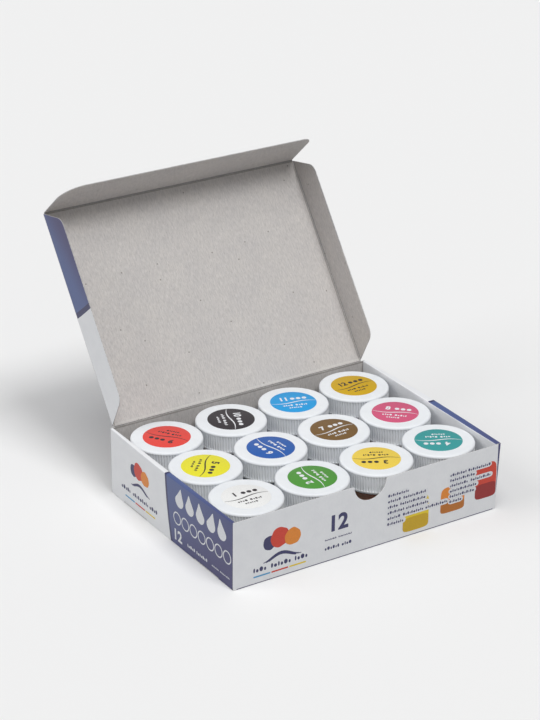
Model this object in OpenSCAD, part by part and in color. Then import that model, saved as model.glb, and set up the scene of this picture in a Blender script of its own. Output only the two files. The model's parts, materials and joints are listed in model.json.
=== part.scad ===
/* [Board] */
// Thickness of the folding board
board = 0.5; // [0.35:0.05:0.6]

/* [Caps] */
// Outside radius of a cap
cap_r = 20.5; // [18:0.1:24]
// Thickness of a cap's skirt
cap_wall = 1.4; // [1:0.1:2]
// Thickness of a cap's top
cap_top = 1.2; // [0.8:0.1:2]
// Height of a cap
cap_h = 12; // [10:0.1:12.4]
// Radius of a cap's top edge
cap_edge = 1.2; // [0.4:0.1:2]
// Radius of the round colour mark on a cap
mark_r = 13.5; // [8:0.5:15]
// Height that the colour mark stands above the cap
mark_step = 0.1; // [0.05:0.05:0.3]
// Thickness of the sealing disc inside a cap
seal_t = 0.8; // [0.4:0.1:1.2]
// Gap around the sealing disc
seal_clear = 0.4; // [0.3:0.1:0.8]

/* [Threads] */
// Rise of the thread in one turn
thread_pitch = 4; // [3:0.5:4]
// How far each thread stands out
thread_depth = 0.7; // [0.4:0.05:1]
// Running clearance between the two threads
thread_clear = 0.2; // [0.1:0.05:0.3]

/* [Jars] */
// Distance from the outside of a cap in to the outside of its jar
jar_inset = 2.2; // [1.8:0.1:2.6]
// Thickness of a jar's wall
jar_wall = 1; // [0.6:0.1:1.4]
// Thickness of a jar's floor
jar_floor = 1.2; // [0.8:0.1:2]
// Height of a jar up to its shoulder
shoulder_z = 24.6; // [22:0.1:25]
// Height of a jar up to its rim
rim_z = 36.2; // [35.8:0.1:38]
// Distance from the inner shoulder of a jar down to its paint
paint_gap = 0.3; // [0.1:0.1:16]
// Radius of the hollow under a jar
foot_r = 15; // [8:0.5:15]
// Depth of the hollow under a jar
foot_depth = 0.5; // [0.2:0.1:0.8]

/* [Tray] */
// Gap between the caps, from left to right
jar_gap_x = 1.4; // [0.6:0.1:4]
// Gap between the caps, from front to back
jar_gap_y = 0.7; // [0.6:0.1:4]
// Gap between the outer caps and the lid's folded side flaps
side_space = 0.6; // [0.4:0.1:4]
// Gap between the front caps and the front wall, which the tuck flap goes into
front_space = 3.7; // [3.7:0.1:8]
// Gap between the back caps and the back wall
back_space = 1.9; // [0.5:0.1:6]
// Gap between the caps and the closed lid
head_space = 1.8; // [0.5:0.1:6]
// Space inside each doubled side wall, which holds the corner flaps
wall_gap = 0.6; // [0.6:0.1:1.2]
// How far the top edge of the right side wall bows out
right_bow = 3; // [0.2:0.1:6]
// How far the top edge of the left side wall bows out
left_bow = 1.5; // [0.2:0.1:6]
// Length of each corner flap inside the side walls
corner_flap_l = 42; // [20:1:55]
// Width of the thumb notch in the front wall
notch_w = 21; // [12:1:40]
// Length of each locking tab under an inner side wall
tab_l = 25; // [10:1:40]
// Distance of each locking tab's centre from the middle of the side
tab_y = 38; // [25:1:42]
// Clearance around a tab in its slot
slot_clear = 0.1; // [0.05:0.05:0.3]

/* [Lid] */
// Angle that the lid stands open, measured from closed
open_angle = 126.8; // [95:0.1:170]
// Gap between the closed lid's front crease and the inside of the front wall
lid_front_gap = 1.1; // [0.9:0.1:2]
// Gap between the top of the tray and the closed lid
lid_gap = 0.15; // [0.1:0.05:0.5]
// Gap between a folded side flap of the lid and the side wall beside it
lid_side_gap = 0.2; // [0.15:0.05:0.5]
// Width of the creases where lid panels meet
crease = 0.3; // [0.2:0.1:0.6]
// Length of the tuck flap from its crease to its free edge
tuck_h = 31.5; // [15:0.5:32]
// Angle between the tuck flap and the line of the open lid
tuck_angle = 84; // [70:0.5:88]
// Angle by which the ends of the tuck flap lean in
tuck_lean = 5.5; // [2:0.5:12]
// Corner radius of the tuck flap
tuck_r = 8; // [3:0.5:12]
// Depth of each side flap of the lid
side_flap_h = 20.5; // [12:0.5:24]
// Angle by which the ends of each side flap lean in
side_flap_lean = 26; // [10:1:35]
// Corner radius of each side flap
side_flap_r = 7; // [2:0.5:9]

/* [Hidden] */
COLOURS = [
    ["white", [0.95, 0.95, 0.95]],
    ["green", [0.31, 0.62, 0.25]],
    ["dark_yellow", [0.95, 0.80, 0.25]],
    ["teal", [0.20, 0.60, 0.62]],
    ["yellow", [0.95, 0.90, 0.20]],
    ["blue", [0.15, 0.35, 0.70]],
    ["brown", [0.45, 0.32, 0.20]],
    ["pink", [0.86, 0.38, 0.52]],
    ["red", [0.88, 0.28, 0.25]],
    ["black", [0.20, 0.20, 0.22]],
    ["light_blue", [0.12, 0.62, 0.88]],
    ["ochre", [0.78, 0.64, 0.25]]
];
CARTON = [
    "base_panel", "front_wall", "back_wall",
    "left_outer_wall", "left_inner_wall", "right_outer_wall", "right_inner_wall",
    "corner_flaps", "lid_panel", "tuck_flap", "left_lid_flap", "right_lid_flap"
];

jars_per_row = 4;
rows = len(COLOURS) / jars_per_row;
outside = [0.92, 0.92, 0.93];
print_blue = [0.28, 0.30, 0.50];
grey_board = [0.72, 0.71, 0.69];
plastic = [0.93, 0.93, 0.94];
smooth = 96;
arc_steps = 6;
bow_steps = 24;
eps = 0.01;

// The jars stand in rows, and the tray is as large as they and the gaps around them
pitch_x = 2 * cap_r + jar_gap_x;
pitch_y = 2 * cap_r + jar_gap_y;
jars_half_x = (jars_per_row - 1) / 2 * pitch_x + cap_r;
jars_half_y = (rows - 1) / 2 * pitch_y + cap_r;
wall_in_x = jars_half_x + side_space + board + lid_side_gap;
tray_w = 2 * (wall_in_x + 2 * board + wall_gap);
tray_d = 2 * (jars_half_y + board) + front_space + back_space;
panel_y = tray_d / 2 - board;
jar_shift = (front_space - back_space) / 2;

// Each cap sits with its sealing disc on its jar's rim
rim = board + rim_z;
shoulder = board + shoulder_z;
cap_top_z = rim + seal_t + cap_top;
cap_low_z = cap_top_z - cap_h;
tray_h = cap_top_z + head_space;
cap_in_r = cap_r - cap_wall;
neck_r = cap_in_r - 2 * thread_depth - thread_clear;
jar_r = cap_r - jar_inset;
thread_half = 0.8;
thread_tip = 0.3;
thread_low_z = shoulder + 4.4;
rim_bevel = 0.3;
shoulder_bevel = 0.8;
inner_shoulder = shoulder - 2 * shoulder_bevel;
jar_floor_top = board + foot_depth + jar_floor;
paint_top = inner_shoulder - paint_gap;
paint_film = 0.05;

// The lid's folded side flaps fit between the side walls
lid_half_w = wall_in_x - lid_side_gap;
lid_l = tray_d - board - lid_front_gap;
lid_top = lid_gap + board;
side_flap_gap = 0.8;
hinge_gap = 0.3;
back_wall_drop = 0.15;
thumb_r = notch_w / 2;

function jar_x(i) = (i % jars_per_row - (jars_per_row - 1) / 2) * pitch_x;
function jar_y(i) = jar_shift + (floor(i / jars_per_row) - (rows - 1) / 2) * pitch_y;
function arc(c, r, a0, a1) = [for (k = [0:arc_steps]) let (a = a0 + (a1 - a0) * k / arc_steps)
    [c[0] + r * cos(a), c[1] + r * sin(a)]];
function bow_at(y, bow) = bow * cos(90 * y / panel_y);

// Outline of a flap: its root lies on y = 0, its ends lean in and its free corners are round
module flap_outline(root_l, depth, lean, r) {
    corner_y = depth - r;
    inset = (r + corner_y * sin(lean)) / cos(lean);
    half = root_l / 2;
    polygon(concat(
        [[-half, 0]],
        arc([-half + inset, corner_y], r, 180 - lean, 90),
        arc([half - inset, corner_y], r, 90, lean),
        [[half, 0]]
    ));
}

module base_panel() {
    slot_w = board + 2 * slot_clear;
    slot_l = tab_l + 2 * slot_clear;
    color(grey_board) difference() {
        translate([-tray_w / 2 + board, -panel_y, 0])
            cube([tray_w - 2 * board, 2 * panel_y, board]);
        for (side = [-1, 1], end = [-1, 1])
            translate([side * (wall_in_x + board / 2) - slot_w / 2, end * tab_y - slot_l / 2, -eps])
                cube([slot_w, slot_l, board + 2 * eps]);
    }
}

module front_wall() {
    color(outside) difference() {
        translate([-tray_w / 2, -tray_d / 2, 0]) cube([tray_w, board, tray_h]);
        translate([0, -tray_d / 2 - eps, tray_h]) rotate([-90, 0, 0])
            cylinder(r = thumb_r, h = board + 2 * eps, $fn = smooth);
    }
}

module back_wall() {
    color(grey_board) translate([-tray_w / 2, panel_y, 0])
        cube([tray_w, board, tray_h - back_wall_drop]);
}

// Outer side wall with the flat spine on top of it; the wall bows out towards its top edge
module outer_wall(bow) {
    section_n = 6;
    low_x = tray_w / 2;
    rings = [for (k = [0:bow_steps]) let (y = -panel_y + 2 * panel_y * k / bow_steps,
        top_x = low_x + bow_at(y, bow)) [
            [low_x, y, 0],
            [top_x, y, tray_h],
            [wall_in_x, y, tray_h],
            [wall_in_x, y, tray_h - board],
            [top_x - board, y, tray_h - board],
            [low_x - board, y, 0]
        ]];
    sides = [for (k = [0:bow_steps - 1], s = [0:section_n - 1])
        let (a = k * section_n + s, b = k * section_n + (s + 1) % section_n)
            each [[a, a + section_n, b], [b, a + section_n, b + section_n]]];
    last = bow_steps * section_n;
    front = [[0, 1, 4, 5], [1, 2, 3, 4]];
    back = [for (face = front) [for (k = [len(face) - 1:-1:0]) last + face[k]]];
    polyhedron(points = [for (ring = rings) each ring], faces = concat(sides, front, back));
}

// Inner side wall with its two locking tabs, which end flush with the underside
module inner_wall() {
    translate([wall_in_x, -panel_y, board]) cube([board, 2 * panel_y, tray_h - 2 * board]);
    for (end = [-1, 1])
        translate([wall_in_x, end * tab_y - tab_l / 2, 0]) cube([board, tab_l, board + eps]);
}

module right_outer_wall() {
    color(print_blue) outer_wall(right_bow);
}

module left_outer_wall() {
    color(print_blue) mirror([1, 0, 0]) outer_wall(left_bow);
}

module right_inner_wall() {
    color(outside) inner_wall();
}

module left_inner_wall() {
    color(outside) mirror([1, 0, 0]) inner_wall();
}

// Four flaps folded in from the front and back walls, one inside each end of a side wall
module corner_flaps() {
    flap_x = wall_in_x + board + (wall_gap - board) / 2;
    color(outside) for (side = [0, 1], end = [0, 1])
        mirror([side, 0, 0]) mirror([0, end, 0])
            translate([flap_x, -panel_y, board])
                cube([board, corner_flap_l, tray_h - 3 * board]);
}

// Places a piece of the lid, drawn closed with the hinge line on the X axis, in its open position
module open_lid() {
    translate([0, tray_d / 2, tray_h]) rotate([-open_angle, 0, 0]) children();
}

module lid_panel() {
    half_w = lid_half_w - board - crease;
    front_y = lid_l - board - crease;
    color(outside) open_lid() translate([-half_w, -front_y, lid_gap])
        cube([2 * half_w, front_y - hinge_gap, board]);
}

module tuck_flap() {
    root_l = 2 * (lid_half_w - 2 * board);
    color(outside) open_lid() translate([0, -lid_l, lid_top]) rotate([tuck_angle - 90, 0, 0])
        rotate([-90, 0, 0]) linear_extrude(board)
            flap_outline(root_l, tuck_h, tuck_lean, tuck_r);
}

// Side flap of the lid, folded square to it and hanging from its right-hand edge
module lid_flap() {
    root_l = lid_l - 2 * side_flap_gap;
    open_lid() translate([lid_half_w - board, -lid_l / 2, lid_top]) rotate([0, 90, 0])
        rotate([0, 0, -90]) linear_extrude(board)
            flap_outline(root_l, side_flap_h, side_flap_lean, side_flap_r);
}

module right_lid_flap() {
    color(outside) lid_flap();
}

module left_lid_flap() {
    color(print_blue) mirror([1, 0, 0]) lid_flap();
}

// Outline of one thread ridge: base on the radius r, standing out by depth
function ridge(r, z, depth) = [
    [r, z - thread_half], [r + depth, z - thread_tip], [r + depth, z + thread_tip], [r, z + thread_half]
];

module jar(i) {
    in_r = jar_r - jar_wall;
    mouth_r = neck_r - jar_wall;
    color(plastic) translate([jar_x(i), jar_y(i), 0]) rotate_extrude($fn = smooth)
        polygon(concat(
            [[0, board + foot_depth], [foot_r - foot_depth, board + foot_depth], [foot_r, board]],
            [[jar_r - shoulder_bevel, board], [jar_r, board + shoulder_bevel]],
            [[jar_r, shoulder - shoulder_bevel], [jar_r - shoulder_bevel / 2, shoulder], [neck_r, shoulder]],
            ridge(neck_r, thread_low_z, thread_depth),
            ridge(neck_r, thread_low_z + thread_pitch, thread_depth),
            [[neck_r, rim - rim_bevel], [neck_r - rim_bevel, rim], [mouth_r + rim_bevel, rim]],
            [[mouth_r, rim - rim_bevel], [mouth_r, shoulder], [in_r, inner_shoulder]],
            [[in_r, jar_floor_top], [0, jar_floor_top]]
        ));
}

module paint(i) {
    color(COLOURS[i][1]) translate([jar_x(i), jar_y(i), jar_floor_top])
        cylinder(r = jar_r - jar_wall - paint_film, h = paint_top - jar_floor_top, $fn = smooth);
}

module seal(i) {
    color("ivory") translate([jar_x(i), jar_y(i), rim])
        cylinder(r = cap_in_r - seal_clear, h = seal_t, $fn = smooth);
}

// The cap's outside is drawn from its mark down, and its inside from its mouth up
module cap(i) {
    roof = cap_top_z - cap_top;
    face = cap_top_z - mark_step;
    thread_z = thread_low_z + thread_pitch / 2;
    color(plastic) translate([jar_x(i), jar_y(i), 0]) rotate_extrude($fn = smooth)
        polygon(concat(
            [[0, cap_top_z], [mark_r, cap_top_z], [mark_r, face]],
            arc([cap_r - cap_edge, face - cap_edge], cap_edge, 90, 0),
            [[cap_r, cap_low_z], [cap_in_r, cap_low_z]],
            ridge(cap_in_r, thread_z, -thread_depth),
            [[cap_in_r, roof], [0, roof]]
        ));
}

base_panel();
front_wall();
back_wall();
left_outer_wall();
left_inner_wall();
right_outer_wall();
right_inner_wall();
corner_flaps();
lid_panel();
tuck_flap();
left_lid_flap();
right_lid_flap();
for (i = [0:len(COLOURS) - 1]) {
    jar(i);
    paint(i);
    seal(i);
    cap(i);
}
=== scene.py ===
"""Looks of the gouache box: a folding-board tray with an open tuck lid and twelve screw-capped jars of paint.

Lengths are in millimetres, and MM turns them into metres where meshes, places and looks are made.
The walls, the lid and the jars take their sizes from the frame.
"""

import json
from math import asin, atan2, copysign, cos, degrees, hypot, pi, radians, sin, sqrt, tan

import bmesh
import bpy
from mathutils import Matrix, Vector
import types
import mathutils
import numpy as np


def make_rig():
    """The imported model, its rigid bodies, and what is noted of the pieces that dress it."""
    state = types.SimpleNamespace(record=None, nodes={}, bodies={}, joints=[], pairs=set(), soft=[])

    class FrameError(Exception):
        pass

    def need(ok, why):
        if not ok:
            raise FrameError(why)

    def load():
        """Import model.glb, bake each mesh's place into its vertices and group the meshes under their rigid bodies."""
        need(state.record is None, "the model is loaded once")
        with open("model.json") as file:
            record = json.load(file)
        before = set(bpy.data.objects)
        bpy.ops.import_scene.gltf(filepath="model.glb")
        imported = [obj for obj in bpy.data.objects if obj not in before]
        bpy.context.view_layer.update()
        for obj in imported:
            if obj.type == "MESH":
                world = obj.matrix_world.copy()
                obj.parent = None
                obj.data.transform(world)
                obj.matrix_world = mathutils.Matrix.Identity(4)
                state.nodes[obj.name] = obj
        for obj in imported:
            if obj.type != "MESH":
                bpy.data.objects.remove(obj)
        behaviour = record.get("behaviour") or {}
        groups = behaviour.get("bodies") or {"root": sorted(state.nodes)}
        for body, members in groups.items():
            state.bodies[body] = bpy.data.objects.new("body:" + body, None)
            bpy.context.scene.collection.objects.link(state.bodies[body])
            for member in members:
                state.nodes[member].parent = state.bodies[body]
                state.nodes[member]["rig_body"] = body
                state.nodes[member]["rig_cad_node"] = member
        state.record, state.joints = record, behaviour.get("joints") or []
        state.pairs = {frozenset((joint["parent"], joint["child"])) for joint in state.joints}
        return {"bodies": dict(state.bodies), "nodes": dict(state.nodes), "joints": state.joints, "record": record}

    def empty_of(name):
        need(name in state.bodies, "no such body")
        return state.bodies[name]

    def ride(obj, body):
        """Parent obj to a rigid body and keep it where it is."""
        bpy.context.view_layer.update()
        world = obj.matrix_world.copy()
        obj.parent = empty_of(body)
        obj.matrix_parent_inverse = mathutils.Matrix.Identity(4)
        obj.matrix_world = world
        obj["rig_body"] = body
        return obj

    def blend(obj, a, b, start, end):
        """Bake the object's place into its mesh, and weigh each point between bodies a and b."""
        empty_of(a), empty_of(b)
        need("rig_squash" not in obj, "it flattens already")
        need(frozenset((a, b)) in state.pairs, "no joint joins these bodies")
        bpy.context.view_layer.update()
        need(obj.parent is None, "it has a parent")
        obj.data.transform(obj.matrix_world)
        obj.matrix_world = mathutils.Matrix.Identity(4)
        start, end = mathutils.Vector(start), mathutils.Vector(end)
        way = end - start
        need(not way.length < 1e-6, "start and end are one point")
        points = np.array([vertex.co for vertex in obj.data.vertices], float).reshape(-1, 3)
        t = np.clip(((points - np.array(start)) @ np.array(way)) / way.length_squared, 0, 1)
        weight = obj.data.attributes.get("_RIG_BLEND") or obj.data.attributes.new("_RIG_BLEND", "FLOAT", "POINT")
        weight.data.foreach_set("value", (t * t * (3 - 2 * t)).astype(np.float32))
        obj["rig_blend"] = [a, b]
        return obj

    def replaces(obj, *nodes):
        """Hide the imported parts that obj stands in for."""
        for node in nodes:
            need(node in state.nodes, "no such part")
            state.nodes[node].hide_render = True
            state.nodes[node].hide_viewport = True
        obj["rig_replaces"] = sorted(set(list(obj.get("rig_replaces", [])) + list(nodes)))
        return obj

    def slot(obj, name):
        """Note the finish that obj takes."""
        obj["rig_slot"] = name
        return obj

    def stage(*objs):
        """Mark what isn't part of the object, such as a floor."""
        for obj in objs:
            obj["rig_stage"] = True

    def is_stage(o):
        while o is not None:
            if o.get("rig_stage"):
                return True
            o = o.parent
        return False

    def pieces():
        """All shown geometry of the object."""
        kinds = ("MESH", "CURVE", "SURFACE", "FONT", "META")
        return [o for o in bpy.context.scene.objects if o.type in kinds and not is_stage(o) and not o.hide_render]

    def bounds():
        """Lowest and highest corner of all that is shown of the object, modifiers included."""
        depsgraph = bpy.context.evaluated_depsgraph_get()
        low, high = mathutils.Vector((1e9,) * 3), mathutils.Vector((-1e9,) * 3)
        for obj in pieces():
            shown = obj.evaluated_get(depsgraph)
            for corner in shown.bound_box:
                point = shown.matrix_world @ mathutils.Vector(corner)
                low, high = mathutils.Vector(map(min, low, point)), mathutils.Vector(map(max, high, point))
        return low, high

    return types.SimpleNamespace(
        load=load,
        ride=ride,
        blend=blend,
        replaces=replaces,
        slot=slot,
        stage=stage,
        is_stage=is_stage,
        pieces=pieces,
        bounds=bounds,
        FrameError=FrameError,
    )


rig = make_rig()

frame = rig.load()
frame_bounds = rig.bounds()

MM = 0.001
SIZE_FILE = "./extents.json"


# ---- sizes from the frame


def span(a, b, steps):
    """Even steps from a to b, both included."""
    return [a + (b - a) * k / steps for k in range(steps + 1)]


def circle(steps):
    """(angle, cosine, sine) at even steps round a circle."""
    angles = [2 * pi * k / steps for k in range(steps)]
    return [(a, cos(a), sin(a)) for a in angles]


def corners(points):
    """Lowest and highest corner of some points."""
    columns = list(zip(*points))
    return Vector([min(c) for c in columns]), Vector([max(c) for c in columns])


def node_box(node, place=None):
    """Corners of a CAD node in the space of place, in millimetres."""
    back = (place or Matrix.Identity(4)).inverted()
    return corners([back @ v.co / MM for v in frame["nodes"][node].data.vertices])


def joint(name):
    return next(j for j in frame["joints"] if j["name"] == name)


def moved(x, y, z):
    return Matrix.Translation((x * MM, y * MM, z * MM))


def turned_by(angle, axis):
    return Matrix.Rotation(radians(angle), 4, axis)


front_low, front_high = node_box("front_wall")
HALF_W = front_high.x
FRONT_Y = -front_low.y
BOARD = front_high.y - front_low.y
TRAY_H = front_high.z
BACK_H = node_box("back_wall")[1].z
WALL_X = node_box("right_inner_wall")[0].x
PANEL_Y = node_box("right_inner_wall")[1].y
FLAP_X = node_box("corner_flaps")[1].x
BOW = {1: node_box("right_outer_wall")[1].x - HALF_W, -1: -node_box("left_outer_wall")[0].x - HALF_W}

OPEN_ANGLE = -joint("lid_hinge")["range_deg"][0]
LID = moved(0, FRONT_Y, TRAY_H) @ turned_by(-OPEN_ANGLE, "X")
lid_low, lid_high = node_box("lid_panel", LID)
flap_low, flap_high = node_box("right_lid_flap", LID)
tuck_root = LID.inverted() @ Vector(joint("tuck_fold")["pos_m"]) / MM
TUCK_ANGLE = 84
TUCK_IN_LID = moved(0, tuck_root.y, tuck_root.z) @ turned_by(TUCK_ANGLE - 90, "X")
TUCK = LID @ TUCK_IN_LID
tuck_low, tuck_high = node_box("tuck_flap", TUCK)

# how far each cap mark is turned, in the order of the jars' numbers
MARK_ANGLES = {
    "white": -5, "green": 85, "dark_yellow": 150, "teal": 149,
    "yellow": -135, "blue": 94, "brown": 1, "pink": -44,
    "red": 123, "black": -111, "light_blue": -19, "ochre": -1,
}
DARK_LINES = ("white", "dark_yellow", "yellow", "ochre", "red")
jar_low, jar_high = node_box("jar_white")
cap_low, cap_high = node_box("cap_white")
seal_low, seal_high = node_box("seal_white")
paint_low, paint_high = node_box("paint_white")
CAP_R = (cap_high.x - cap_low.x) / 2
JAR_R = (jar_high.x - jar_low.x) / 2
SEAL_R = (seal_high.x - seal_low.x) / 2
PAINT_R = (paint_high.x - paint_low.x) / 2

# ---- sizes of the details

INK_LIFT = 0.04
LAYERS = 4
EDGE_ROUND = 0.07
FOLD_R = 0.55
SEAM = 0.4
NOTCH_R = 10.5
NOTCH_SHOULDER = 1.3
CORNER_FLAP_L = 42
CORNER_FLAP_DROP = 0.9
TAB_Y = 38
TAB_L = 25
TAB_LIFT = 0.55
TAB_CORNER = 2.5
TAB_GAP = 0.03
TAB_BOARD = BOARD - 0.08
SLOT_CLEAR = 0.1
# a hair's gap between layers of board, and how far folded ends keep inside their edges
HAIR = 0.05
INSET = 0.3
FRONT_FLARE = 0.68
CREASE_DEPTH = 0.8
HINGE_SAG = 0.2
HINGE_RISE = 0.45

SIDES = ((-1, "left"), (1, "right"))
BASE_GAP = 0.02
WALL_STEPS = 8
FOLD_STEPS = 5
INNER_FOLD_STEPS = 6

SIDE_FLAP_LEAN = 26
SIDE_FLAP_R = 7
TUCK_ENDS = {-1: (3, 14), 1: (0.5, 7)}

CAP_EDGE = 1.2
CAP_WALL = 1.4
CAP_ROOF = 1.2
MARK_R = 13.5
MARK_STEP = 0.1
RIBS = 82
RIB_DEPTH = 0.5
RIB_STEPS = 6
COLLAR = 1.3
NECK_R = 17.5
JAR_WALL = 1
SEAL_PRESS = 0.12
SHOULDER_Z = 25.1
THREAD_PITCH = 4
THREAD_DEPTH = 0.7
THREAD_LOW_Z = 29.5
THREAD_STEPS = 48
THREAD_RUN_OUT = 6
THREAD_ROOT = 0.8
THREAD_TIP = 0.3

ROUND_STEPS = 48
MARK_WIDTHS = (0.62, 0.34, 0.50, 0.74, 0.42)
MARK_HEIGHTS = (1.0, 0.70, 0.70, 0.85)
MARK_GAP = 0.22

# ---- materials

# colour sockets of the Mix node, and the values between which a noise mostly lies
MIX_A, MIX_B, MIX_RESULT = 6, 7, 2
NOISE_LOW, NOISE_HIGH = 0.3, 0.7


class Look:
    """One node material; the helpers add nodes and return their output sockets."""

    def __init__(self, name, coords="UV"):
        self.material = bpy.data.materials.new(name)
        self.material.use_nodes = True
        self.tree = self.material.node_tree
        self.shader = self.tree.nodes["Principled BSDF"]
        self.coords = self.add("ShaderNodeTexCoord").outputs[coords]

    def feed(self, sockets, values):
        """Links output sockets to inputs, or sets the inputs' own values; None leaves one alone."""
        for key, value in values.items():
            if isinstance(value, bpy.types.NodeSocket):
                self.tree.links.new(value, sockets[key])
            elif sockets[key].type == "RGBA":
                sockets[key].default_value = (*value, 1)
            elif value is not None:
                sockets[key].default_value = value

    def add(self, kind, inputs=None, **settings):
        node = self.tree.nodes.new(kind)
        for key, value in settings.items():
            setattr(node, key, value)
        self.feed(node.inputs, inputs or {})
        return node

    def math(self, operation, a, b=0.0):
        return self.add("ShaderNodeMath", {0: a, 1: b}, operation=operation).outputs[0]

    def times(self, a, b):
        return self.math("MULTIPLY", a, b)

    def axis(self, name):
        """One coordinate, in millimetres."""
        parts = self.add("ShaderNodeSeparateXYZ", {0: self.coords})
        return self.times(parts.outputs[name], 1 / MM)

    def placed(self, scale, shift):
        """Coordinates stretched to scale cells per millimetre, by axis or alike on all three."""
        by_axis = (scale,) * 3 if isinstance(scale, float) else scale
        stretch = tuple(s / MM for s in by_axis)
        inputs = {"Vector": self.coords, "Scale": stretch, "Location": shift}
        return self.add("ShaderNodeMapping", inputs).outputs[0]

    def noise(self, scale, detail, shift=(0, 0, 0)):
        inputs = {"Vector": self.placed(scale, shift), "Scale": 1, "Detail": detail}
        return self.add("ShaderNodeTexNoise", inputs).outputs["Fac"]

    def cells(self, scale, shift=(0, 0, 0), flat="3D"):
        """Distance to the nearest of some scattered points, in cells."""
        inputs = {"Vector": self.placed(scale, shift), "Scale": 1}
        return self.add("ShaderNodeTexVoronoi", inputs, voronoi_dimensions=flat).outputs["Distance"]

    def step(self, value, low, high, out_low=0.0, out_high=1.0):
        inputs = {"Value": value, "From Min": low, "From Max": high, "To Min": out_low, "To Max": out_high}
        return self.add("ShaderNodeMapRange", inputs, interpolation_type="SMOOTHSTEP").outputs[0]

    def line(self, value, at, half, soft):
        """1 within half of a place, fading to 0 over soft."""
        away = self.math("ABSOLUTE", self.math("SUBTRACT", value, at))
        return self.step(away, half, half + soft, 1.0, 0.0)

    def mix(self, share, a, b, blend="MIX"):
        inputs = {"Factor": share, MIX_A: a, MIX_B: b}
        return self.add("ShaderNodeMix", inputs, data_type="RGBA", blend_type=blend).outputs[MIX_RESULT]

    def vary(self, noise, a, b, low=NOISE_LOW, high=NOISE_HIGH):
        """A number or a colour that goes from a to b as a noise goes from low to high."""
        if isinstance(a, float):
            return self.step(noise, low, high, a, b)
        return self.mix(self.step(noise, low, high), a, b)

    def tint(self, colour, noise, a, b, *band):
        """A colour multiplied by one that varies with a noise."""
        return self.mix(1.0, colour, self.vary(noise, a, b, *band), "MULTIPLY")

    def bump(self, height, depth, strength, normal=None):
        inputs = {"Strength": strength, "Distance": depth * MM, "Height": height, "Normal": normal}
        return self.add("ShaderNodeBump", inputs).outputs[0]

    def done(self, colour, rough, normal=None, **inputs):
        """Feeds the shader, and gives back the material."""
        self.feed(self.shader.inputs, {"Base Color": colour, "Roughness": rough, "Normal": normal})
        self.feed(self.shader.inputs, {name.replace("_", " "): value for name, value in inputs.items()})
        return self.material


COATED = (0.85, 0.86, 0.88)
COATED_DULL = (0.835, 0.846, 0.868)
GREY_LIGHT = (0.625, 0.600, 0.585)
GREY_DARK = (0.535, 0.512, 0.495)
# the two fleck tones also colour the painted fold lines: the dark one as painted shade, the light one as a painted
# highlight
DARK_FLECK_AND_FOLD_SHADE = (0.20, 0.18, 0.16)
LIGHT_FLECK_AND_FOLD_HIGHLIGHT = (0.68, 0.66, 0.63)
FIBRE_SCALE = (1.1, 0.22, 1.0)
# cells per millimetre, shift, radius in cells, share and tone
FLECKS = (
    (0.034, (0.3, 0.7, 0), 0.019, 0.75, DARK_FLECK_AND_FOLD_SHADE),
    (0.30, (7, 2, 0), 0.075, 0.30, DARK_FLECK_AND_FOLD_SHADE),
    (0.22, (4, 9, 0), 0.090, 0.35, LIGHT_FLECK_AND_FOLD_HIGHLIGHT),
)
NAVY_TOP = (0.085, 0.125, 0.30)
NAVY_LOW = (0.062, 0.058, 0.165)
NAVY_LINE = (0.035, 0.035, 0.115)
PLASTIC = (0.855, 0.880, 0.910)
PLASTIC_DULL = (0.825, 0.850, 0.885)

PAINTS = {
    "white": (0.86, 0.86, 0.85),
    "green": (0.085, 0.31, 0.048),
    "dark_yellow": (0.86, 0.63, 0.085),
    "teal": (0.045, 0.33, 0.33),
    "yellow": (0.82, 0.76, 0.035),
    "blue": (0.026, 0.115, 0.42),
    "brown": (0.19, 0.105, 0.035),
    "pink": (0.65, 0.105, 0.21),
    "red": (0.78, 0.070, 0.055),
    "black": (0.042, 0.036, 0.042),
    "light_blue": (0.018, 0.34, 0.74),
    "ochre": (0.62, 0.385, 0.012),
}
DEEP_PAINTS = {"dark_yellow": (0.62, 0.14, 0.02)}
INKS = {
    "navy": (0.055, 0.055, 0.14),
    "white": (0.80, 0.81, 0.84),
    "red": (0.66, 0.07, 0.045),
    "orange": (0.80, 0.27, 0.045),
    "yellow": (0.82, 0.62, 0.04),
    "blue": (0.10, 0.36, 0.62),
    "black": (0.035, 0.03, 0.035),
    "amber": (0.62, 0.40, 0.025),
    "rust": (0.50, 0.17, 0.03),
    "dark_red": (0.33, 0.035, 0.035),
    **{name: PAINTS[name] for name in ("green", "teal", "pink", "brown", "ochre")},
}


def coated_surface(look, colour):
    """Clay coating over board: faint mottling, a fine tooth and a soft sheen."""
    mottle = look.noise(0.12, 4.0)
    tooth = look.noise(2.2, 3.0)
    wave = look.noise(0.03, 1.0)
    colour = look.tint(colour, mottle, (1.0, 1.0, 1.0), (0.965, 0.965, 0.97))
    normal = look.bump(tooth, 0.02, 0.35, look.bump(wave, 1.2, 0.25))
    return look.done(colour, look.vary(tooth, 0.34, 0.46), normal)


def white_board(name):
    look = Look(name)
    fibre = look.noise((0.9, 0.35, 1.0), 3.0)
    return coated_surface(look, look.vary(fibre, COATED, COATED_DULL, 0.35, 0.65))


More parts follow.
